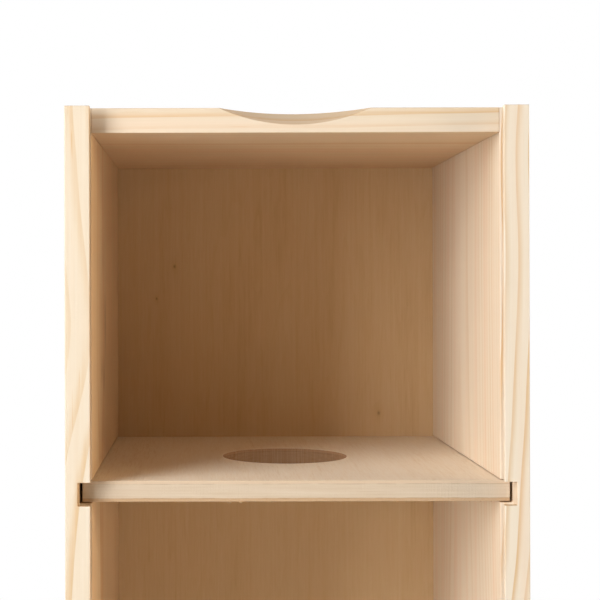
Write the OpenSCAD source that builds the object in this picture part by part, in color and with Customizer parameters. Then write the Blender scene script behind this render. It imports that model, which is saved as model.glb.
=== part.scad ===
// Wooden wine box for one bottle, standing on its end with the front open.
// Two grooved side boards carry a top board, a bottom board and a plywood back panel.
// A plywood shelf with a round hole for the bottle's neck slides into slots in the sides.
// Millimetres. The origin is the middle of the underside, +Z is up and the front faces -Y.

/* [Box] */
// Clear width between the two side boards
inner_w = 98; // [80:0.5:140]
// Clear depth between the lid's groove and the back panel
inner_d = 98; // [80:0.5:140]
// Overall height
box_h = 330; // [260:1:420]
// Thickness of the side, top and bottom boards
board_t = 6; // [5:0.25:10]

/* [Grooves] */
// Thickness of the thin plywood used for the back panel and for a sliding lid
panel_t = 3; // [2:0.1:5]
// Play of the thin plywood in the width of its groove
groove_play = 0.3; // [0.1:0.05:0.8]
// Depth of the grooves
groove_deep = 3; // [2:0.1:3.8]
// Wood left between a groove and the edge of its board
groove_edge = 1.6; // [1:0.1:4]
// Gap between the back panel's edges and the groove bottoms
panel_gap = 0.3; // [0.1:0.1:1]

/* [Neck shelf] */
// Thickness of the shelf
shelf_t = 5; // [3:0.25:9]
// Height of the neck's room, from the top of the shelf to the underside of the top board
neck_room = 83.5; // [50:0.5:130]
// Diameter of the hole for the bottle's neck
neck_hole_d = 34; // [26:0.5:60]
// Depth of the shelf's slots in the side boards
slot_deep = 3; // [2:0.1:3.8]
// Gap between each end of the shelf and the end of its slot
shelf_end_gap = 0.7; // [0.2:0.1:1.4]
// Gap above the shelf in its slots
shelf_gap_above = 0.2; // [0.1:0.05:0.6]
// Gap below the shelf in its slots
shelf_gap_below = 0.3; // [0.1:0.05:0.6]

/* [Thumb scoop] */
// Width of the scoop along the front edge of the top board
scoop_w = 36.6; // [20:0.2:60]
// Depth of the scoop at the front edge
scoop_deep = 4; // [1:0.1:4.8]
// How far back the scoop runs out on the top face
scoop_run = 12.4; // [6:0.2:30]

/* [Nails] */
// Diameter of a nail's shank
nail_d = 1.2; // [0.8:0.1:2]
// Length of a nail
nail_l = 20; // [12:0.5:28]
// Diameter of a nail's head
nail_head_d = 2.2; // [2.1:0.1:4]
// Thickness of a nail's head
nail_head_t = 0.7; // [0.3:0.1:1.5]
// Length of a nail's point
nail_point_l = 1.8; // [0.8:0.1:4]
// How far the heads are set below the face of the board
nail_sink = 0.2; // [0.1:0.05:1]
// Gap around a nail in its hole
nail_fit = 0.02; // [0.01:0.01:0.1]
// Distance from the outermost nails to the front and back edges of the end board
nail_margin = 16; // [8:0.5:30]
// Number of nails in each corner joint
nails_per_joint = 3; // [2:1:6]

/* [Hidden] */

// How far a cutting shape runs past the face that it opens
overrun = 1;
$fn = 64;

pine = [0.91, 0.80, 0.64];
plywood = [0.87, 0.75, 0.58];
steel = [0.62, 0.62, 0.64];

// Outer sizes: a groove and the strip of wood beside it lie in front of and behind the clear depth
groove_w = panel_t + groove_play;
groove_band = groove_edge + groove_w;
box_w = inner_w + 2 * board_t;
box_d = inner_d + 2 * groove_band;

// Planes across the depth, from front to back
front_y = -box_d / 2;
lid_groove_y = front_y + groove_edge;
room_front_y = front_y + groove_band;
room_back_y = room_front_y + inner_d;
back_y = box_d / 2;

// Levels, from the bottom up
bottom_z = board_t;
top_z = box_h - board_t;
shelf_z = top_z - neck_room - shelf_t;
slot_z = shelf_z - shelf_gap_below;
slot_h = shelf_gap_below + shelf_t + shelf_gap_above;
top_nail_z = top_z + board_t / 2;
bottom_nail_z = bottom_z - board_t / 2;

// The shelf and the back panel reach into their slots and grooves
shelf_w = inner_w + 2 * (slot_deep - shelf_end_gap);
panel_w = inner_w + 2 * (groove_deep - panel_gap);
panel_z = bottom_z - groove_deep;
panel_h = top_z + groove_deep - panel_gap - panel_z;

// The scoop is a slanting cylinder: its slope, and the radius that gives its width and depth
scoop_slope = atan2(scoop_deep, scoop_run);
scoop_sag = scoop_deep * cos(scoop_slope);
scoop_r = (pow(scoop_w / 2, 2) + pow(scoop_sag, 2)) / (2 * scoop_sag);

// Blunt end of a nail's point, as a share of the shank
nail_tip_share = 0.25;

// Section of a board, depth by thickness, with its inner face on the axis and grooves cut there
module board_section(from_y, groove_places) {
    difference() {
        translate([from_y, -board_t]) square([back_y - from_y, board_t]);
        for (y = groove_places)
            translate([y, -groove_deep]) square([groove_w, groove_deep + overrun]);
    }
}

// Runs a section across the clear width, with its inner face upwards at the level 0
module across_width() {
    rotate([90, 0, 90]) linear_extrude(inner_w, center = true) children();
}

// A nail along +Z, driven from the level 0
module nail() {
    translate([0, 0, nail_sink]) {
        cylinder(d = nail_head_d, h = nail_head_t);
        cylinder(d = nail_d, h = nail_l - nail_point_l);
        translate([0, 0, nail_l - nail_point_l])
            cylinder(d1 = nail_d, d2 = nail_d * nail_tip_share, h = nail_point_l);
    }
}

// The hole that a nail leaves: its own form with a gap all round, open above the head
module nail_hole() {
    hole_d = nail_d + 2 * nail_fit;
    head_floor = nail_sink + nail_head_t + nail_fit;
    shank_end = nail_sink + nail_l - nail_point_l;
    translate([0, 0, -overrun])
        cylinder(d = nail_head_d + 2 * nail_fit, h = overrun + head_floor);
    cylinder(d = hole_d, h = shank_end);
    translate([0, 0, shank_end])
        cylinder(d1 = hole_d, d2 = hole_d * nail_tip_share, h = nail_point_l + nail_fit);
}

// Places along one corner joint, each pointing inwards through the right-hand side board
module along_joint(from_y, z) {
    pitch = (back_y - from_y - 2 * nail_margin) / (nails_per_joint - 1);
    for (i = [0 : nails_per_joint - 1])
        translate([box_w / 2, from_y + nail_margin + i * pitch, z])
            rotate([0, -90, 0]) children();
}

module along_top_joint() {
    along_joint(room_front_y, top_nail_z) children();
}

module along_bottom_joint() {
    along_joint(front_y, bottom_nail_z) children();
}

// Makes a right-hand piece and its mirror image on the left
module both_hands() {
    children();
    mirror([1, 0, 0]) children();
}

// Right-hand side board: one section with a groove near each edge, run the full height.
// The shelf's slot crosses it from edge to edge.
module side_board() {
    difference() {
        translate([inner_w / 2, 0, 0])
            linear_extrude(box_h)
                rotate(90) board_section(front_y, [lid_groove_y, room_back_y]);
        translate([inner_w / 2 - overrun, front_y - overrun, slot_z])
            cube([overrun + slot_deep, box_d + 2 * overrun, slot_h]);
        along_top_joint() nail_hole();
        along_bottom_joint() nail_hole();
    }
}

module left_side() {
    color(pine) mirror([1, 0, 0]) side_board();
}

module right_side() {
    color(pine) side_board();
}

// Thumb scoop for the lid's end: a slanting cylinder that runs out on the top face
module thumb_scoop() {
    translate([0, room_front_y, box_h - scoop_deep])
        rotate([90 + scoop_slope, 0, 0])
            translate([0, scoop_r, 0])
                cylinder(r = scoop_r, h = 2 * (scoop_run + scoop_deep), center = true);
}

// The top board starts behind the lid's groove, so that a lid can slide in from above
module top_board() {
    color(pine) difference() {
        translate([0, 0, top_z])
            mirror([0, 0, 1])
                across_width() board_section(room_front_y, [room_back_y]);
        thumb_scoop();
        both_hands() along_top_joint() nail_hole();
    }
}

// The bottom board runs to the front edge and takes the lower edge of a lid in a groove
module bottom_board() {
    color(pine) difference() {
        translate([0, 0, bottom_z])
            across_width() board_section(front_y, [lid_groove_y, room_back_y]);
        both_hands() along_bottom_joint() nail_hole();
    }
}

// Thin plywood, captured in the back grooves of the four boards
module back_panel() {
    color(plywood)
        translate([-panel_w / 2, room_back_y, panel_z])
            cube([panel_w, panel_t, panel_h]);
}

// Plywood shelf that holds the bottle by its neck
module neck_shelf() {
    color(plywood)
        translate([0, 0, shelf_z])
            linear_extrude(shelf_t)
                difference() {
                    translate([-shelf_w / 2, room_front_y]) square([shelf_w, inner_d]);
                    circle(d = neck_hole_d);
                }
}

module top_right_nails() {
    color(steel) along_top_joint() nail();
}

module top_left_nails() {
    mirror([1, 0, 0]) top_right_nails();
}

module bottom_right_nails() {
    color(steel) along_bottom_joint() nail();
}

module bottom_left_nails() {
    mirror([1, 0, 0]) bottom_right_nails();
}

left_side();
right_side();
top_board();
bottom_board();
back_panel();
neck_shelf();
top_left_nails();
top_right_nails();
bottom_left_nails();
bottom_right_nails();
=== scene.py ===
"""Looks of an upright wooden wine box: pale pine boards, a plywood back and a plywood neck shelf."""

import math
import random

import bpy
from mathutils import Euler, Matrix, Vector


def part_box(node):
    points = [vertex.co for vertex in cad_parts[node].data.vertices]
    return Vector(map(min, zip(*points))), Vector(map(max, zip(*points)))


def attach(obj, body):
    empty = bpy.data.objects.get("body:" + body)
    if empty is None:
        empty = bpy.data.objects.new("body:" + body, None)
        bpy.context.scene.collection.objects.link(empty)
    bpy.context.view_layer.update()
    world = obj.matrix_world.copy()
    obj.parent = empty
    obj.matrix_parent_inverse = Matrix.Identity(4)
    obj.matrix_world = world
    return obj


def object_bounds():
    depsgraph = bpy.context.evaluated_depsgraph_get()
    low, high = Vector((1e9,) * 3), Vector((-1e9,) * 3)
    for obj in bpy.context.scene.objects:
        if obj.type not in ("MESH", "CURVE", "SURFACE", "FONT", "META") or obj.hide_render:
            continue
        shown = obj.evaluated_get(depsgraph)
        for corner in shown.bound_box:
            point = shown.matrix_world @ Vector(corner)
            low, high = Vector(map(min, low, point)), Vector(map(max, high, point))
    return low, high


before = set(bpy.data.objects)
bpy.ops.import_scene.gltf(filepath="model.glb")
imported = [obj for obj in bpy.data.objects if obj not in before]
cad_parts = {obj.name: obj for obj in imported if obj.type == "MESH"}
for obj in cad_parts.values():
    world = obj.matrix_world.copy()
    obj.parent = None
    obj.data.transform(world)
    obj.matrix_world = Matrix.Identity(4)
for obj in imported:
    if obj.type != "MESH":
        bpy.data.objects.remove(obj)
cad_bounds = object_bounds()


# Side boards
# Two planed pine boards, 6 mm thick, sawn flat so that the grain runs up the box.
# Each has a groove near both edges and a slot for the shelf, sawn across its inner face.

MM_PER_METRE = 1000


def box_mm(node_name):
    """The lowest and highest corner of a node, in millimetres."""
    return [corner * MM_PER_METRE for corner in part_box(node_name)]


class Wire:
    """A number that varies over a surface. Sums with it add nodes to its material."""

    def __init__(self, tree, socket):
        self.tree = tree
        self.socket = socket

    def math(self, operation, *others):
        node = self.tree.nodes.new("ShaderNodeMath")
        node.operation = operation
        for socket, value in zip(node.inputs, (self, *others)):
            plug(self.tree, socket, value)
        return Wire(self.tree, node.outputs[0])

    def __add__(self, other):
        return self.math("ADD", other)

    def __sub__(self, other):
        return self.math("SUBTRACT", other)

    def __mul__(self, other):
        return self.math("MULTIPLY", other)

    def __truediv__(self, other):
        return self.math("DIVIDE", other)

    __radd__ = __add__
    __rmul__ = __mul__

    def __rsub__(self, other):
        return (self * -1) + other

    def rise(self, low, high):
        """0 up to low, 1 from high, and a smooth step between."""
        node = self.tree.nodes.new("ShaderNodeMapRange")
        node.interpolation_type = "SMOOTHSTEP"
        for name, value in (("Value", self), ("From Min", low), ("From Max", high)):
            plug(self.tree, node.inputs[name], value)
        return Wire(self.tree, node.outputs["Result"])

    def within(self, low, high, soft):
        """1 between low and high, 0 outside, with soft limits."""
        return self.rise(low - soft, low + soft) * (1 - self.rise(high - soft, high + soft))

    def hump(self, middle, half_width):
        """A bell of height 1 round middle."""
        away = (self - middle) / half_width
        return (away * away * -1).math("EXPONENT")


def plug(tree, socket, value):
    """Gives a socket a wire or a fixed value."""
    if isinstance(value, Wire):
        tree.links.new(value.socket, socket)
    else:
        socket.default_value = value


def new_finish(name):
    """A new node material, its tree and its shader."""
    material = bpy.data.materials.new(name)
    material.use_nodes = True
    shader = next(n for n in material.node_tree.nodes if n.type == "BSDF_PRINCIPLED")
    return material, material.node_tree, shader


def split(tree, vector):
    """The x, y and z of a vector, by name."""
    node = tree.nodes.new("ShaderNodeSeparateXYZ")
    tree.links.new(vector, node.inputs[0])
    return {axis: Wire(tree, node.outputs[i]) for i, axis in enumerate("xyz")}


def place_and_facing(tree):
    """Where a point of the surface is, in millimetres of the box, and which way it faces."""
    node = tree.nodes.new("ShaderNodeTexCoord")
    metres = split(tree, node.outputs["Object"])
    place = {axis: wire * MM_PER_METRE for axis, wire in metres.items()}
    return place, split(tree, node.outputs["Normal"])


def noise(tree, wires, per_mm, seed, detail=2.0, roughness=0.5):
    """Smooth noise from 0 to 1, with its own fineness along each of the three wires."""
    joined = tree.nodes.new("ShaderNodeCombineXYZ")
    for i, (wire, fineness) in enumerate(zip(wires, per_mm)):
        plug(tree, joined.inputs[i], wire * fineness + seed * (i + 1))
    node = tree.nodes.new("ShaderNodeTexNoise")
    node.inputs["Scale"].default_value = 1.0
    node.inputs["Detail"].default_value = detail
    node.inputs["Roughness"].default_value = roughness
    tree.links.new(joined.outputs[0], node.inputs["Vector"])
    return Wire(tree, node.outputs["Fac"])


def lottery(tree, wire):
    """A random number from 0 to 1 for each whole number on the wire."""
    node = tree.nodes.new("ShaderNodeTexWhiteNoise")
    node.noise_dimensions = "1D"
    plug(tree, node.inputs["W"], wire)
    return Wire(tree, node.outputs["Value"])


def srgb(red, green, blue):
    """A screen colour, 0 to 255, as the linear colour that shaders take."""
    def linear(level):
        share = level / 255
        return share / 12.92 if share <= 0.04045 else ((share + 0.055) / 1.055) ** 2.4
    return (linear(red), linear(green), linear(blue), 1.0)


def colour_scale(tree, wire, stops):
    """Colours along a wire: each stop is a place from 0 to 1 and a colour."""
    node = tree.nodes.new("ShaderNodeValToRGB")
    ramp = node.color_ramp
    while len(ramp.elements) < len(stops):
        ramp.elements.new(0.5)
    for element, (place, colour) in zip(ramp.elements, stops):
        element.position = place
        element.color = colour
    plug(tree, node.inputs["Fac"], wire)
    return Wire(tree, node.outputs["Color"])


def tint(tree, share, under, over, blend="MIX"):
    """Lays one colour over another by a share from 0 to 1."""
    node = tree.nodes.new("ShaderNodeMix")
    node.data_type = "RGBA"
    node.blend_type = blend
    colours = [socket for socket in node.inputs if socket.type == "RGBA"]
    plug(tree, node.inputs["Factor"], share)
    plug(tree, colours[0], under)
    plug(tree, colours[1], over)
    return Wire(tree, next(socket for socket in node.outputs if socket.type == "RGBA"))


def relief(tree, shader, height, depth_mm):
    """Fine height on a surface, as a bump of the given depth."""
    node = tree.nodes.new("ShaderNodeBump")
    node.inputs["Strength"].default_value = 1.0
    node.inputs["Distance"].default_value = depth_mm / MM_PER_METRE
    plug(tree, node.inputs["Height"], height)
    tree.links.new(node.outputs["Normal"], shader.inputs["Normal"])


PINE_STOPS = (
    (0.0, srgb(234, 222, 204)),
    (0.3, srgb(228, 211, 187)),
    (0.62, srgb(219, 188, 147)),
    (1.0, srgb(192, 145, 96)),
)
PINE_BLUSH = srgb(234, 203, 176)
PINE_SHADE_TINT = srgb(248, 233, 214)
PINE_RESIN = srgb(128, 84, 48)
PINE_END_GRAIN = srgb(234, 214, 185)
PINE_PORE = srgb(158, 118, 78)
PINE_SAWN = srgb(232, 218, 200)

# How fine each figure of the wood is through the board, across it and along the grain, in waves per mm.
PITH_STRAY = (0, 0, 1 / 110)
RING_WOBBLE = (1 / 40, 1 / 22, 1 / 130)
PINE_FIBRES = (2.4, 2.4, 0.03)
PINE_STREAKS = (0.4, 0.4, 0.006)
PINE_CLOUDS = (0.03, 0.03, 0.008)
RESIN_CANALS = (3.0, 3.0, 0.07)
BLUSH_BANDS = (0.16, 0.16, 0.004)
PINE_PORES = (5, 5, 5)

# How far the pith line strays in thickness and depth, and how far the rings wobble, in mm.
STRAY_THICK_MM = 3
STRAY_DEEP_MM = 8
WOBBLE_MM = 2.4

# Late wood is the dark end of a year's ring, by shares of the ring. Some years leave hardly any.
LATE_WOOD_RISE = (0.42, 0.93)
LATE_WOOD_END = (0.95, 1.0)
FAINTEST_YEAR = 0.25

# How much each figure darkens the wood.
RING_DEPTH = 0.42
FIBRE_DEPTH = 0.3
CANAL_DEPTH = 0.22
STREAK_DEPTH = 0.36
CLOUD_DEPTH = 0.3

# The limits between which a chance figure or a way of facing begins to count and counts in full.
CANAL_LIMITS = (0.7, 0.78)
BLUSH_LIMITS = (0.42, 0.7)
PORE_LIMITS = (0.5, 0.7)
BROAD_FACE_LIMITS = (0.55, 0.85)
END_FACE_LIMITS = (0.75, 0.95)

# How strongly each tint is laid on.
BLUSH_SHARE = 0.4
END_GRAIN_SHARE = 0.7
PORE_SHARE = 0.35
SAWN_SHARE = 0.6
SAWN_PORE_SHARE = 0.5

# How dull the planed wood is, and what late wood, fibres and sawing add to that.
PINE_ROUGHNESS = 0.58
LATE_WOOD_ROUGHNESS = -0.08
FIBRE_ROUGHNESS = 0.15
SAWN_ROUGHNESS = 0.2
PINE_SHEEN = 0.3

# The depth of the relief, and the shares of fibres, late wood and sawing in it.
PINE_RELIEF_MM = 0.05
FIBRE_HEIGHT = 0.6
LATE_WOOD_HEIGHT = 0.3
SAWN_HEIGHT = 1.2


def pine(node_name, grain_axis, thick_axis, pith, lean, ring_mm, first_ring=0.0, swirls=(), streaks=(),
         cuts=(), painted_shade=0.0, edge_rings=0.0, base_tone=0.16, seed=1.0):
    """Pine as a solid: yearly rings round a pith line beside the board, fibres and end grain.

    pith is where the pith line passes the middle of the board, in thickness and depth, and lean is how far
    it strays per mm of length. first_ring shifts the rings. A swirl is a bulge of the rings near a knot:
    place along the grain, place in depth, length, width and height. A streak is dark with resin: place along
    the grain, place in depth, length, width and strength. A cut is how rough it is and a box, axis by axis,
    whose faces are sawn and not planed. Lengths are in mm. painted_shade deepens and warms the broad faces
    as painted shade for the inner faces that lie in shade, edge_rings deepens the rings on the narrow edges,
    which are sanded, and base_tone is how dark the board is as a whole.
    """
    material, tree, shader = new_finish(f"{node_name}_pine")
    place, facing = place_and_facing(tree)
    low, high = box_mm(node_name)
    middle = {axis: (low["xyz".index(axis)] + high["xyz".index(axis)]) / 2 for axis in "xyz"}
    along, across, through = place[grain_axis], place["y"], place[thick_axis]
    wires = (through, across, along)
    from_middle = along - middle[grain_axis]

    stray = noise(tree, wires, PITH_STRAY, seed) - 0.5
    off_thick = through - (from_middle * lean[0] + stray * STRAY_THICK_MM + (middle[thick_axis] + pith[0]))
    off_deep = across - (from_middle * lean[1] + stray * STRAY_DEEP_MM + (middle["y"] + pith[1]))
    distance = (off_thick * off_thick + off_deep * off_deep).math("SQRT")
    wobble = noise(tree, wires, RING_WOBBLE, seed + 3) - 0.5
    distance = distance + wobble * WOBBLE_MM
    for swirl_along, swirl_across, length, width, height in swirls:
        distance = distance + along.hump(swirl_along, length) * across.hump(swirl_across, width) * height
    rings = distance / ring_mm + first_ring
    in_ring = rings.math("FRACT")
    vigour = lottery(tree, rings.math("FLOOR") + seed * 10)
    late = in_ring.rise(*LATE_WOOD_RISE) * (1 - in_ring.rise(*LATE_WOOD_END))
    late = late * (vigour * (1 - FAINTEST_YEAR) + FAINTEST_YEAR)

    fibre = noise(tree, wires, PINE_FIBRES, seed + 11, detail=3, roughness=0.6)
    streak = noise(tree, wires, PINE_STREAKS, seed + 13, detail=3)
    cloud = noise(tree, wires, PINE_CLOUDS, seed + 17)
    canal = noise(tree, wires, RESIN_CANALS, seed + 19, detail=1).rise(*CANAL_LIMITS)
    broad = facing[thick_axis].math("ABSOLUTE").rise(*BROAD_FACE_LIMITS)
    ring_tone = late * ((1 - broad) * edge_rings + 1) * RING_DEPTH
    tone = ring_tone + (fibre - 0.5) * FIBRE_DEPTH + canal * CANAL_DEPTH + base_tone
    tone = tone + (streak - 0.5) * STREAK_DEPTH + (cloud - 0.5) * CLOUD_DEPTH
    colour = colour_scale(tree, tone, PINE_STOPS)
    blush = noise(tree, wires, BLUSH_BANDS, seed + 29).rise(*BLUSH_LIMITS)
    colour = tint(tree, blush * BLUSH_SHARE, colour, PINE_BLUSH)
    for streak_along, streak_across, length, width, strength in streaks:
        resin = along.hump(streak_along, length) * across.hump(streak_across, width) * strength
        colour = tint(tree, resin, colour, PINE_RESIN)
    # Painted shade: the broad faces are deepened and warmed, so that the inner faces which lie in shade come
    # out darker and browner.
    colour = tint(tree, broad * painted_shade, colour, PINE_SHADE_TINT, "MULTIPLY")

    end_grain = facing[grain_axis].math("ABSOLUTE").rise(*END_FACE_LIMITS)
    pores = noise(tree, wires, PINE_PORES, seed + 23)
    colour = tint(tree, end_grain * END_GRAIN_SHARE, colour, PINE_END_GRAIN, "MULTIPLY")
    colour = tint(tree, end_grain * pores.rise(*PORE_LIMITS) * PORE_SHARE, colour, PINE_PORE)
    sawn = end_grain
    for cut_rough, cut in cuts:
        inside = cut_rough
        for axis, (cut_low, cut_high) in cut.items():
            inside = place[axis].within(cut_low, cut_high, CUT_SOFT_MM) * inside
        sawn = sawn.math("MAXIMUM", inside)
    colour = tint(tree, sawn * (pores * SAWN_PORE_SHARE + SAWN_SHARE), colour, PINE_SAWN, "MULTIPLY")
    tree.links.new(colour.socket, shader.inputs["Base Color"])

    rough = late * LATE_WOOD_ROUGHNESS + (fibre - 0.5) * FIBRE_ROUGHNESS
    rough = rough + sawn * SAWN_ROUGHNESS + PINE_ROUGHNESS
    tree.links.new(rough.socket, shader.inputs["Roughness"])
    shader.inputs["Specular IOR Level"].default_value = PINE_SHEEN
    height = fibre * FIBRE_HEIGHT + late * LATE_WOOD_HEIGHT + sawn * (pores - 0.5) * SAWN_HEIGHT
    relief(tree, shader, height, PINE_RELIEF_MM)
    return material


EASED_EDGE_MM = 0.2
SAME_CORNER_METRES = 1e-6
SAME_FACE_DEG = 0.5
SHARP_EDGE_DEG = 35


def ease_edges(board, width_mm=EASED_EDGE_MM):
    """Takes the sharpness off a board's edges, as a pass with fine paper does."""
    weld = board.modifiers.new("joined corners", "WELD")
    weld.merge_threshold = SAME_CORNER_METRES
    flat = board.modifiers.new("whole faces", "DECIMATE")
    flat.decimate_type = "DISSOLVE"
    flat.angle_limit = math.radians(SAME_FACE_DEG)
    bevel = board.modifiers.new("eased edges", "BEVEL")
    bevel.width = width_mm / MM_PER_METRE
    bevel.segments = 2
    bevel.limit_method = "ANGLE"
    bevel.angle_limit = math.radians(SHARP_EDGE_DEG)
    bevel.use_clamp_overlap = False
    shade = board.modifiers.new("flat faces", "WEIGHTED_NORMAL")
    shade.keep_sharp = True


def dress(node_name, material):
    """Gives a piece of the frame its finish."""
    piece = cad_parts[node_name]
    piece.data.materials.clear()
    piece.data.materials.append(material)
    return piece


# The sawn cuts, in mm. Their marks reach a little past the cut, so that its own faces are inside them,
# and end short of the board's edges, which are planed.
GROOVE_WIDTH = 3.3
GROOVE_DEPTH = 3.0
GROOVE_ROUGH = 0.25
SLOT_BELOW_SHELF = 0.3
SLOT_ABOVE_SHELF = 0.2
CUT_SOFT_MM = 0.04
CUT_REACH_MM = 0.08
EDGE_CLEAR_MM = 0.15
FLOOR_DEPTH = GROOVE_DEPTH + CUT_REACH_MM
shelf_low, shelf_high = box_mm("neck_shelf")
panel_low, _ = box_mm("back_panel")
top_low, top_high = box_mm("top_board")


def cut_range(low, high):
    """A range that takes in the faces at both of its ends."""
    return (low - CUT_REACH_MM, high + CUT_REACH_MM)


LID_GROOVE = cut_range(shelf_low.y - GROOVE_WIDTH, shelf_low.y)
PANEL_GROOVE = cut_range(panel_low.y, panel_low.y + GROOVE_WIDTH)
SHELF_SLOT = cut_range(shelf_low.z - SLOT_BELOW_SHELF, shelf_high.z + SLOT_ABOVE_SHELF)


def side_cuts(mouth_x, floor_x):
    """The two grooves and the shelf's slot in a side board, from their mouth to their floor."""
    depth = (min(mouth_x, floor_x), max(mouth_x, floor_x))
    return (
        (GROOVE_ROUGH, {"x": depth, "y": LID_GROOVE}),
        (GROOVE_ROUGH, {"x": depth, "y": PANEL_GROOVE}),
        (GROOVE_ROUGH, {"x": depth, "z": SHELF_SLOT}),
    )


LEFT_SWIRLS = ((279, -54, 28, 30, -3.0), (270, -17, 15, 12, -2.0))
LEFT_RESIN_STREAKS = ((277, -5.5, 7, 2.2, 0.45), (263, -10, 3.5, 2.0, 0.4), (265, -17, 2.5, 1.6, 0.35))
RIGHT_SWIRLS = ((200, -54, 45, 30, -2.5),)
# The left board's broad faces get strong painted shade, the right board's less.
left_pine = pine(
    "left_side", grain_axis="z", thick_axis="x", pith=(-23, -17), lean=(0.012, -0.02), ring_mm=2.6,
    swirls=LEFT_SWIRLS, streaks=LEFT_RESIN_STREAKS,
    cuts=side_cuts(top_low.x - EDGE_CLEAR_MM, top_low.x - FLOOR_DEPTH),
    painted_shade=0.95, base_tone=0.25, seed=1.0,
)
# The right board is paler as a whole (base_tone 0): partly its own tone, partly painted light on its lit
# inner face.
right_pine = pine(
    "right_side", grain_axis="z", thick_axis="x", pith=(46, 3), lean=(0.014, 0.0024), ring_mm=1.9,
    first_ring=0.3, swirls=RIGHT_SWIRLS,
    cuts=side_cuts(top_high.x + EDGE_CLEAR_MM, top_high.x + FLOOR_DEPTH),
    painted_shade=0.4, edge_rings=1.0, base_tone=0.0, seed=4.3,
)
for node_name, material in (("left_side", left_pine), ("right_side", right_pine)):
    ease_edges(dress(node_name, material))


# Top and bottom boards
# Pine of the same stock, cut between the sides with the grain across the box.
# The top board has a thumb scoop milled into its front edge, for pulling out a lid.

SCOOP_HALF_WIDTH = 18.3
SCOOP_DEPTH = 4.0
SCOOP_RUN = 12.4
SCOOP_ROUGH = 0.15
SCOOP_CLEAR_MM = EDGE_CLEAR_MM / 3
_, bottom_high = box_mm("bottom_board")
top_cuts = (
    (GROOVE_ROUGH, {"y": PANEL_GROOVE, "z": (top_low.z + EDGE_CLEAR_MM, top_low.z + FLOOR_DEPTH)}),
    (SCOOP_ROUGH, {
        "x": (-SCOOP_HALF_WIDTH, SCOOP_HALF_WIDTH),
        "y": (top_low.y + EDGE_CLEAR_MM, top_low.y + SCOOP_RUN),
        "z": (top_high.z - SCOOP_DEPTH, top_high.z - SCOOP_CLEAR_MM),
    }),
)
bottom_depth = (bottom_high.z - FLOOR_DEPTH, bottom_high.z - EDGE_CLEAR_MM)
bottom_cuts = (
    (GROOVE_ROUGH, {"y": LID_GROOVE, "z": bottom_depth}),
    (GROOVE_ROUGH, {"y": PANEL_GROOVE, "z": bottom_depth}),
)
# The top board's broad faces, its shaded underside among them, get strong painted shade.
top_pine = pine(
    "top_board", grain_axis="x", thick_axis="z", pith=(48, -42), lean=(0.006, 0.03), ring_mm=2.7,
    cuts=top_cuts, painted_shade=0.95, base_tone=0.24, seed=7.1,
)
bottom_pine = pine(
    "bottom_board", grain_axis="x", thick_axis="z", pith=(-40, 20), lean=(0.008, -0.03), ring_mm=2.7,
    cuts=bottom_cuts, seed=9.7,
)
for node_name, material in (("top_board", top_pine), ("bottom_board", bottom_pine)):
    ease_edges(dress(node_name, material))


# Back panel
# Thin plywood, peeled veneer with its grain upright and a few pin knots.
# It is held loose in the back grooves of the four boards, with no glue.

PANEL_STOPS = (
    (0.0, srgb(227, 201, 164)),
    (0.5, srgb(215, 182, 138)),
    (1.0, srgb(187, 144, 96)),
)
PIN_KNOT = srgb(104, 66, 38)

# Each pin knot: place across, height and radius, in mm. Its core is narrow and its halo drawn out upward.
PANEL_PIN_KNOTS = ((-31.4, 293.5, 0.5), (-37.0, 283.5, 0.4), (32.1, 247.7, 0.55))
KNOT_CORE_WIDTH = 0.7
KNOT_HALO_WIDTH = 2.2
KNOT_HALO_HEIGHT = 5
KNOT_SHARE = 0.5
KNOT_HALO_DEPTH = 0.14

# How fine the veneer's figures are across, through and along the grain, in waves per mm.
VENEER_FIGURE = (1 / 16, 1 / 2, 1 / 130)
VENEER_FIBRES = (1.1, 1.1, 0.015)
VENEER_STROKES = (3.2, 3.2, 0.16)
PANEL_STROKE_DEPTH = 0.25

# The lines of the figure, and how much each of its parts darkens the veneer.
FIGURE_LINES = 9
FIGURE_LINE_LIMITS = (0.5, 0.95)
FIGURE_DEPTH = 0.45
FIGURE_LINE_DEPTH = 0.05
VENEER_FIBRE_DEPTH = 0.3
VENEER_TONE = 0.42

VENEER_ROUGHNESS = 0.66
STROKE_ROUGHNESS = 0.2
VENEER_SHEEN = 0.28
VENEER_RELIEF_MM = 0.05


def veneer_tone(tree, wires, seed, stroke_depth):
    """Peeled veneer: a slow wavy figure, long fibres and fine short strokes along the third wire."""
    figure = noise(tree, wires, VENEER_FIGURE, seed, detail=3, roughness=0.55)
    contour = (figure * FIGURE_LINES).math("FRACT").rise(*FIGURE_LINE_LIMITS)
    fibre = noise(tree, wires, VENEER_FIBRES, seed + 5, detail=3)
    strokes = noise(tree, wires, VENEER_STROKES, seed + 3, roughness=0.6)
    tone = (figure - 0.5) * FIGURE_DEPTH + contour * FIGURE_LINE_DEPTH
    tone = tone + (fibre - 0.5) * VENEER_FIBRE_DEPTH + VENEER_TONE
    return tone + (strokes - 0.5) * stroke_depth, strokes


def veneer_surface(tree, shader, strokes):
    """Raw sanded veneer: dull, with open pores."""
    rough = (strokes - 0.5) * STROKE_ROUGHNESS + VENEER_ROUGHNESS
    tree.links.new(rough.socket, shader.inputs["Roughness"])
    shader.inputs["Specular IOR Level"].default_value = VENEER_SHEEN
    relief(tree, shader, strokes, VENEER_RELIEF_MM)


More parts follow.
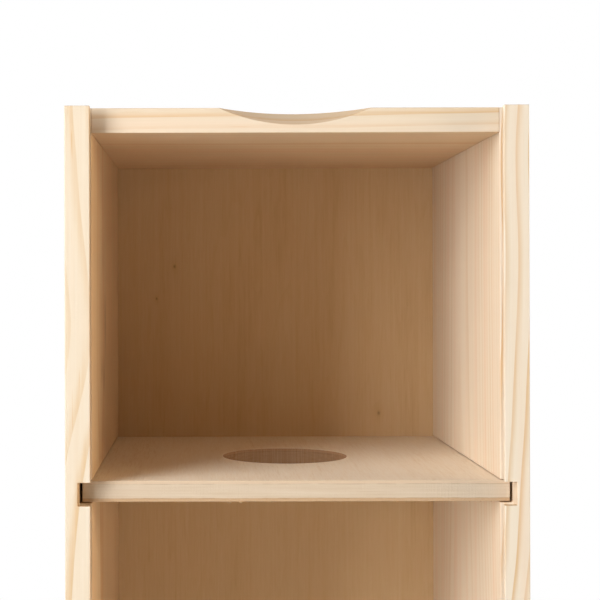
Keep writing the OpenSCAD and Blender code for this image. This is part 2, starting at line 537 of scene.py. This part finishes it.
panel_veneer, panel_tree, panel_shader = new_finish("back_panel_veneer")
panel_place, _ = place_and_facing(panel_tree)
panel_x, panel_y, panel_z = (panel_place[axis] for axis in "xyz")
panel_tone, panel_strokes = veneer_tone(panel_tree, (panel_x, panel_y, panel_z), 2.0, PANEL_STROKE_DEPTH)
panel_knot = 0.0
for knot_x, knot_z, knot_r in PANEL_PIN_KNOTS:
    halo = panel_x.hump(knot_x, knot_r * KNOT_HALO_WIDTH) * panel_z.hump(knot_z, knot_r * KNOT_HALO_HEIGHT)
    core = panel_x.hump(knot_x, knot_r * KNOT_CORE_WIDTH) * panel_z.hump(knot_z, knot_r)
    panel_tone = panel_tone + halo * KNOT_HALO_DEPTH
    panel_knot = core + panel_knot
panel_colour = colour_scale(panel_tree, panel_tone, PANEL_STOPS)
panel_colour = tint(panel_tree, panel_knot * KNOT_SHARE, panel_colour, PIN_KNOT)
panel_tree.links.new(panel_colour.socket, panel_shader.inputs["Base Color"])
veneer_surface(panel_tree, panel_shader, panel_strokes)
dress("back_panel", panel_veneer)


# Neck shelf
# Plywood of three layers, in slots of the side boards, with a round hole sawn through it.
# The face veneers run from front to back and the thick core across. The edges are left as sawn.

SHELF_STOPS = (
    (0.0, srgb(244, 232, 215)),
    (0.5, srgb(237, 220, 197)),
    (1.0, srgb(210, 181, 146)),
)
CORE_STOPS = (
    (0.0, srgb(219, 203, 183)),
    (0.5, srgb(208, 188, 163)),
    (1.0, srgb(182, 153, 121)),
)
UPPER_VENEER_EDGE = srgb(218, 193, 166)
LOWER_VENEER_EDGE_AND_SHADE = srgb(194, 157, 117)
GLUE_LINE = srgb(150, 110, 72)
SAWN_HOLE_SHADE = srgb(182, 148, 112)

# The layers, as shares of the shelf's thickness, and the hole's wall, in mm from its axis.
VENEER_SHARE = 0.16
LAYER_SOFT = 0.01
GLUE_SHARE = 0.02
GLUE_WAVE_SHARE = 0.035
HOLE_REACH = 17.6
HOLE_SOFT_MM = 0.3
SHELF_EASED_MM = 0.12

# How fine the figures of the edges are along x, y and z, in waves per mm.
GLUE_WAVES = (0.12, 0.12, 0)
GLUE_BREAKS = (0.3, 0.3, 0)
CORE_STREAKS = (0.05, 0.8, 2.0)
CORE_PORES = (4, 4, 4)
VENEER_END_PORES = (3.5, 0.4, 2.5)
SAW_LINES = (2.6, 2.6, 0.08)

# How much each figure darkens the faces and the core.
SHELF_STROKE_DEPTH = 0.7
CORE_STREAK_DEPTH = 0.9
CORE_PORE_DEPTH = 0.25
CORE_END_DEPTH = 0.3
CORE_TONE = 0.36
SAW_LINE_HEIGHT = 1.5
GLUE_BREAK_LIMITS = (0.35, 0.6)
SHELF_FACE_LIMITS = (0.5, 0.8)

# How strongly each tint of the edges is laid on: a fixed share, and one that its figure varies.
VENEER_EDGE_SHARE = 0.55
VENEER_END_PORE_SHARE = 0.5
GLUE_LINE_SHARE = 0.1
GLUE_BREAK_SHARE = 0.3
HOLE_SHADE_SHARE = 0.5
SAW_LINE_SHARE = 0.6

shelf_ply, shelf_tree, shelf_shader = new_finish("neck_shelf_plywood")
shelf_place, shelf_facing = place_and_facing(shelf_tree)
shelf_x, shelf_y, shelf_z = shelf_wires = tuple(shelf_place[axis] for axis in "xyz")
shelf_tone, shelf_strokes = veneer_tone(shelf_tree, (shelf_x, shelf_z, shelf_y), 5.0, SHELF_STROKE_DEPTH)
face_colour = colour_scale(shelf_tree, shelf_tone, SHELF_STOPS)

glue_wave = noise(shelf_tree, shelf_wires, GLUE_WAVES, 6.0) - 0.5
share_up = (shelf_z - shelf_low.z) / (shelf_high.z - shelf_low.z) + glue_wave * GLUE_WAVE_SHARE
core_streak = noise(shelf_tree, shelf_wires, CORE_STREAKS, 6.5, detail=3)
core_pore = noise(shelf_tree, shelf_wires, CORE_PORES, 7.0)
core_end = shelf_facing["x"].math("ABSOLUTE")
core_tone = (core_streak - 0.5) * CORE_STREAK_DEPTH + (core_pore - 0.5) * CORE_PORE_DEPTH
core_tone = core_tone + core_end * CORE_END_DEPTH + CORE_TONE
edge_colour = colour_scale(shelf_tree, core_tone, CORE_STOPS)
end_pore = noise(shelf_tree, shelf_wires, VENEER_END_PORES, 7.5, roughness=0.65)
in_upper = share_up.rise(1 - VENEER_SHARE - LAYER_SOFT, 1 - VENEER_SHARE + LAYER_SOFT)
in_lower = 1 - share_up.rise(VENEER_SHARE - LAYER_SOFT, VENEER_SHARE + LAYER_SOFT)
veneer_edge_share = end_pore * VENEER_END_PORE_SHARE + VENEER_EDGE_SHARE
# The lower veneer's edge is darker than the upper one: partly its own colour, partly painted shade along the
# shelf's lower edge.
for veneer_edge, in_layer in ((UPPER_VENEER_EDGE, in_upper), (LOWER_VENEER_EDGE_AND_SHADE, in_lower)):
    edge_colour = tint(shelf_tree, in_layer * veneer_edge_share, edge_colour, veneer_edge)
glue = share_up.hump(VENEER_SHARE, GLUE_SHARE) + share_up.hump(1 - VENEER_SHARE, GLUE_SHARE)
glue_break = noise(shelf_tree, shelf_wires, GLUE_BREAKS, 8.0).rise(*GLUE_BREAK_LIMITS)
glue_share = glue * (glue_break * GLUE_BREAK_SHARE + GLUE_LINE_SHARE)
edge_colour = tint(shelf_tree, glue_share, edge_colour, GLUE_LINE)
# The hole's wall is darkened: partly the saw's scorch lines, partly painted shade, so that it reads as a
# hole.
from_axis = (shelf_x * shelf_x + shelf_y * shelf_y).math("SQRT")
in_hole = 1 - from_axis.rise(HOLE_REACH, HOLE_REACH + HOLE_SOFT_MM)
saw_line = noise(shelf_tree, shelf_wires, SAW_LINES, 8.5, roughness=0.6)
hole_shade_share = in_hole * (saw_line * SAW_LINE_SHARE + HOLE_SHADE_SHARE)
edge_colour = tint(shelf_tree, hole_shade_share, edge_colour, SAWN_HOLE_SHADE, "MULTIPLY")
on_edge = 1 - shelf_facing["z"].math("ABSOLUTE").rise(*SHELF_FACE_LIMITS)
shelf_colour = tint(shelf_tree, on_edge, face_colour, edge_colour)
shelf_tree.links.new(shelf_colour.socket, shelf_shader.inputs["Base Color"])
veneer_surface(shelf_tree, shelf_shader, shelf_strokes + on_edge * saw_line * SAW_LINE_HEIGHT)
neck_shelf = dress("neck_shelf", shelf_ply)
ease_edges(neck_shelf, SHELF_EASED_MM)

# The torn fibres, in mm: how deep they are rooted, how high for their width, how far they lean, and how
# short they get. The fuzz keeps clear of the side boards.
SPLINTER_ROOT = 0.05
SPLINTER_LIFT = 0.7
SPLINTER_LEAN = 0.8
SHORTEST_SPLINTER = 0.08
FUZZ_CLEAR = 2
TORN_PLACES = (-16.4, -15.8, -13.5, -13.2)
TORN_LEAN = (-0.2, 0.3)
TORN_FORWARD = 0.1
TORN_LENGTH = (0.5, 0.75)
TORN_HALF_WIDTH = 0.22
splinter_dice = random.Random(41)
splinter_points = []
splinter_faces = []


def splinter(root, along_edge, reach, half_width):
    """One torn fibre: a three-sided sliver from its root on an edge to a sharp tip, in mm."""
    first = len(splinter_points)
    side = along_edge.normalized() * half_width
    lift = reach.cross(along_edge).normalized() * half_width * SPLINTER_LIFT
    inner = root - reach.normalized() * SPLINTER_ROOT
    splinter_points.extend([inner + side, inner - side, inner + lift, root + reach])
    splinter_faces.extend([
        (first, first + 2, first + 1),
        (first, first + 1, first + 3),
        (first + 1, first + 2, first + 3),
        (first + 2, first, first + 3),
    ])


def fuzz(start, end, outward, count, length_range, half_width_range):
    """Torn fibres strewn along an edge, most of them short, leaning out by chance."""
    edge = end - start
    for _ in range(count):
        share = splinter_dice.random()
        length = splinter_dice.uniform(*length_range) * splinter_dice.random()
        lean = edge.normalized() * splinter_dice.uniform(-SPLINTER_LEAN, SPLINTER_LEAN)
        reach = (outward.normalized() + lean).normalized() * (length + SHORTEST_SPLINTER)
        splinter(start + edge * share, edge, reach, splinter_dice.uniform(*half_width_range))


clear_left = Vector((top_low.x + FUZZ_CLEAR, shelf_low.y, 0))
clear_right = Vector((top_high.x - FUZZ_CLEAR, shelf_low.y, 0))
lower_edge = Vector((0, 0, shelf_low.z))
upper_edge = Vector((0, 0, shelf_high.z))
fuzz(
    clear_left + lower_edge, clear_right + lower_edge, outward=Vector((0, -0.2, -1)),
    count=40, length_range=(0.1, 0.5), half_width_range=(0.04, 0.12),
)
fuzz(
    clear_left + upper_edge, clear_right + upper_edge, outward=Vector((0, -1, 0.5)),
    count=60, length_range=(0.1, 0.35), half_width_range=(0.03, 0.08),
)
for torn_x in TORN_PLACES:
    root = Vector((torn_x, shelf_low.y, shelf_low.z))
    reach = Vector((splinter_dice.uniform(*TORN_LEAN), -TORN_FORWARD, -splinter_dice.uniform(*TORN_LENGTH)))
    splinter(root, Vector((1, 0, 0)), reach, TORN_HALF_WIDTH)
splinter_mesh = bpy.data.meshes.new("shelf_splinters")
splinter_mesh.from_pydata([p / MM_PER_METRE for p in splinter_points], [], splinter_faces)
splinter_mesh.materials.append(shelf_ply)
shelf_splinters = bpy.data.objects.new("shelf_splinters", splinter_mesh)
bpy.context.scene.collection.objects.link(shelf_splinters)
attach(shelf_splinters, "shelf")


# Nails
# Bright wire nails with small pressed heads, driven through the sides into the end boards.
# Their heads are set just below the face of the wood.

STEEL_STOPS = (
    (0.0, srgb(118, 116, 116)),
    (0.5, srgb(172, 172, 174)),
    (1.0, srgb(206, 206, 208)),
)

# The marks of drawing run along the wire. These are their fineness and the smears', in waves per mm.
DRAWN_MARKS = (0.3, 9, 9)
STEEL_SMEARS = (1.5, 1.5, 1.5)
DRAWN_DEPTH = 0.6
SMEAR_DEPTH = 0.4
STEEL_ROUGHNESS = 0.15
MARK_ROUGHNESS = 0.25
STEEL_RELIEF_MM = 0.02
nail_steel, nail_tree, nail_shader = new_finish("nail_steel")
nail_place, _ = place_and_facing(nail_tree)
nail_wires = tuple(nail_place[axis] for axis in "xyz")
drawn = noise(nail_tree, nail_wires, DRAWN_MARKS, 3.0, detail=3, roughness=0.6)
smear = noise(nail_tree, nail_wires, STEEL_SMEARS, 4.0, detail=3)
nail_colour = colour_scale(nail_tree, drawn * DRAWN_DEPTH + smear * SMEAR_DEPTH, STEEL_STOPS)
nail_tree.links.new(nail_colour.socket, nail_shader.inputs["Base Color"])
nail_rough = drawn * MARK_ROUGHNESS + smear * MARK_ROUGHNESS + STEEL_ROUGHNESS
nail_tree.links.new(nail_rough.socket, nail_shader.inputs["Roughness"])
nail_shader.inputs["Metallic"].default_value = 1.0
relief(nail_tree, nail_shader, drawn + smear, STEEL_RELIEF_MM)
for joint in ("top_left", "top_right", "bottom_left", "bottom_right"):
    dress(f"{joint}_nails", nail_steel)


# Floor
# A pale matt floor under the box, which takes the box's shadow.
# Away from the box it fades to the white of the background.

FLOOR_RADIUS = 3.0
FLOOR_SIDES = 96
FLOOR_COLOUR = srgb(230, 229, 227)
FLOOR_ROUGHNESS = 0.9
FLOOR_FADE_MM = (250, 800)
floor_mesh = bpy.data.meshes.new("floor")
floor_angles = [math.tau * i / FLOOR_SIDES for i in range(FLOOR_SIDES)]
floor_rim = [(FLOOR_RADIUS * math.cos(angle), FLOOR_RADIUS * math.sin(angle), 0.0) for angle in floor_angles]
floor_mesh.from_pydata(floor_rim, [], [range(FLOOR_SIDES)])
floor = bpy.data.objects.new("floor", floor_mesh)
bpy.context.scene.collection.objects.link(floor)
floor_paint, floor_tree, floor_shader = new_finish("floor_paint")
floor_shader.inputs["Base Color"].default_value = FLOOR_COLOUR
floor_shader.inputs["Roughness"].default_value = FLOOR_ROUGHNESS
floor_mesh.materials.append(floor_paint)
floor_place, _ = place_and_facing(floor_tree)
floor_reach = (floor_place["x"] * floor_place["x"] + floor_place["y"] * floor_place["y"]).math("SQRT")


def seen_directly(tree):
    """1 on rays that show the background: straight from the camera, in gloss or through glass."""
    path = tree.nodes.new("ShaderNodeLightPath")
    kinds = ("Is Camera Ray", "Is Glossy Ray", "Is Transmission Ray")
    rays = [Wire(tree, path.outputs[kind]) for kind in kinds]
    return rays[0].math("MAXIMUM", rays[1]).math("MAXIMUM", rays[2])


floor_glow = floor_tree.nodes.new("ShaderNodeEmission")
floor_mix = floor_tree.nodes.new("ShaderNodeMixShader")
plug(floor_tree, floor_mix.inputs[0], floor_reach.rise(*FLOOR_FADE_MM) * seen_directly(floor_tree))
floor_tree.links.new(floor_shader.outputs[0], floor_mix.inputs[1])
floor_tree.links.new(floor_glow.outputs[0], floor_mix.inputs[2])
floor_output = next(n for n in floor_tree.nodes if n.type == "OUTPUT_MATERIAL")
floor_tree.links.new(floor_mix.outputs[0], floor_output.inputs["Surface"])


# Light
# Two soft boxes in front on the left, one low and one high, a weak warm reflector far round
# on the right, and two soft boxes behind that reach only the back and the outer sides.

AMBIENT = 0.005
world = bpy.data.worlds.new("studio")
bpy.context.scene.world = world
world.use_nodes = True
world_tree = world.node_tree
world_light = next(n for n in world_tree.nodes if n.type == "BACKGROUND")
world_light.inputs["Color"].default_value = (1.0, 1.0, 1.0, 1.0)
world_level = seen_directly(world_tree) * (1 - AMBIENT) + AMBIENT
world_tree.links.new(world_level.socket, world_light.inputs["Strength"])

LAMP_DISTANCE = 1.0
LAMP_AIM = Vector((0, 0, 0.27))
WHITE_LIGHT = (1.0, 1.0, 1.0)
WARM_LIGHT = (1.0, 0.79, 0.52)
BACK_LAMP_AZIMUTH_DEG = 148


def soft_lamp(name, azimuth_deg, elevation_deg, width, height, watts, colour=WHITE_LIGHT):
    """A soft box that faces the upper part of the box, placed by its direction from there."""
    lamp = bpy.data.lights.new(name, "AREA")
    lamp.shape = "RECTANGLE"
    lamp.size = width
    lamp.size_y = height
    lamp.energy = watts
    lamp.color = colour
    holder = bpy.data.objects.new(name, lamp)
    azimuth = math.radians(azimuth_deg)
    elevation = math.radians(elevation_deg)
    away = Vector((
        math.sin(azimuth) * math.cos(elevation),
        -math.cos(azimuth) * math.cos(elevation),
        math.sin(elevation),
    ))
    holder.location = LAMP_AIM + away * LAMP_DISTANCE
    holder.rotation_euler = away.to_track_quat("Z", "Y").to_euler()
    bpy.context.scene.collection.objects.link(holder)


soft_lamp("key_lamp", azimuth_deg=-47, elevation_deg=10, width=0.5, height=0.6, watts=8.9)
soft_lamp("top_lamp", azimuth_deg=-48, elevation_deg=45, width=0.5, height=0.5, watts=3.9)
soft_lamp(
    "right_reflector", azimuth_deg=73, elevation_deg=8, width=0.3, height=0.3, watts=4.4,
    colour=WARM_LIGHT,
)
for lamp_name, azimuth_deg in (
    ("back_left_lamp", -BACK_LAMP_AZIMUTH_DEG),
    ("back_right_lamp", BACK_LAMP_AZIMUTH_DEG),
):
    soft_lamp(lamp_name, azimuth_deg, elevation_deg=14, width=0.7, height=0.7, watts=7)


# Camera
# Level and square to the front, a little to the left of the middle and near the top.
# The lens is shifted, as the photograph is a cut from a wider view.

PHOTO_SIDE_PX = 600
FOCAL_PX = 1368
AXIS_PX = (207.0, 288.3)
SENSOR_MM = 36
NEAREST_SEEN = 0.01
CAMERA_DISTANCE = 0.3234
CAMERA_SIDE = -0.0213
CAMERA_BELOW_TOP = 0.0433
CAMERA_ROLL = math.radians(0.14)
LEVEL = math.radians(90)

camera_lens = bpy.data.cameras.new("camera")
camera_lens.sensor_width = SENSOR_MM
camera_lens.lens = FOCAL_PX / PHOTO_SIDE_PX * SENSOR_MM
camera_lens.shift_x = (PHOTO_SIDE_PX / 2 - AXIS_PX[0]) / PHOTO_SIDE_PX
camera_lens.shift_y = (AXIS_PX[1] - PHOTO_SIDE_PX / 2) / PHOTO_SIDE_PX
camera_lens.clip_start = NEAREST_SEEN
camera = bpy.data.objects.new("camera", camera_lens)
box_low, box_high = cad_bounds
camera.location = (CAMERA_SIDE, box_low[1] - CAMERA_DISTANCE, box_high[2] - CAMERA_BELOW_TOP)
camera.rotation_euler = Euler((LEVEL, CAMERA_ROLL, 0))
bpy.context.scene.collection.objects.link(camera)
bpy.context.scene.camera = camera

bpy.context.scene.view_settings.view_transform = "Standard"
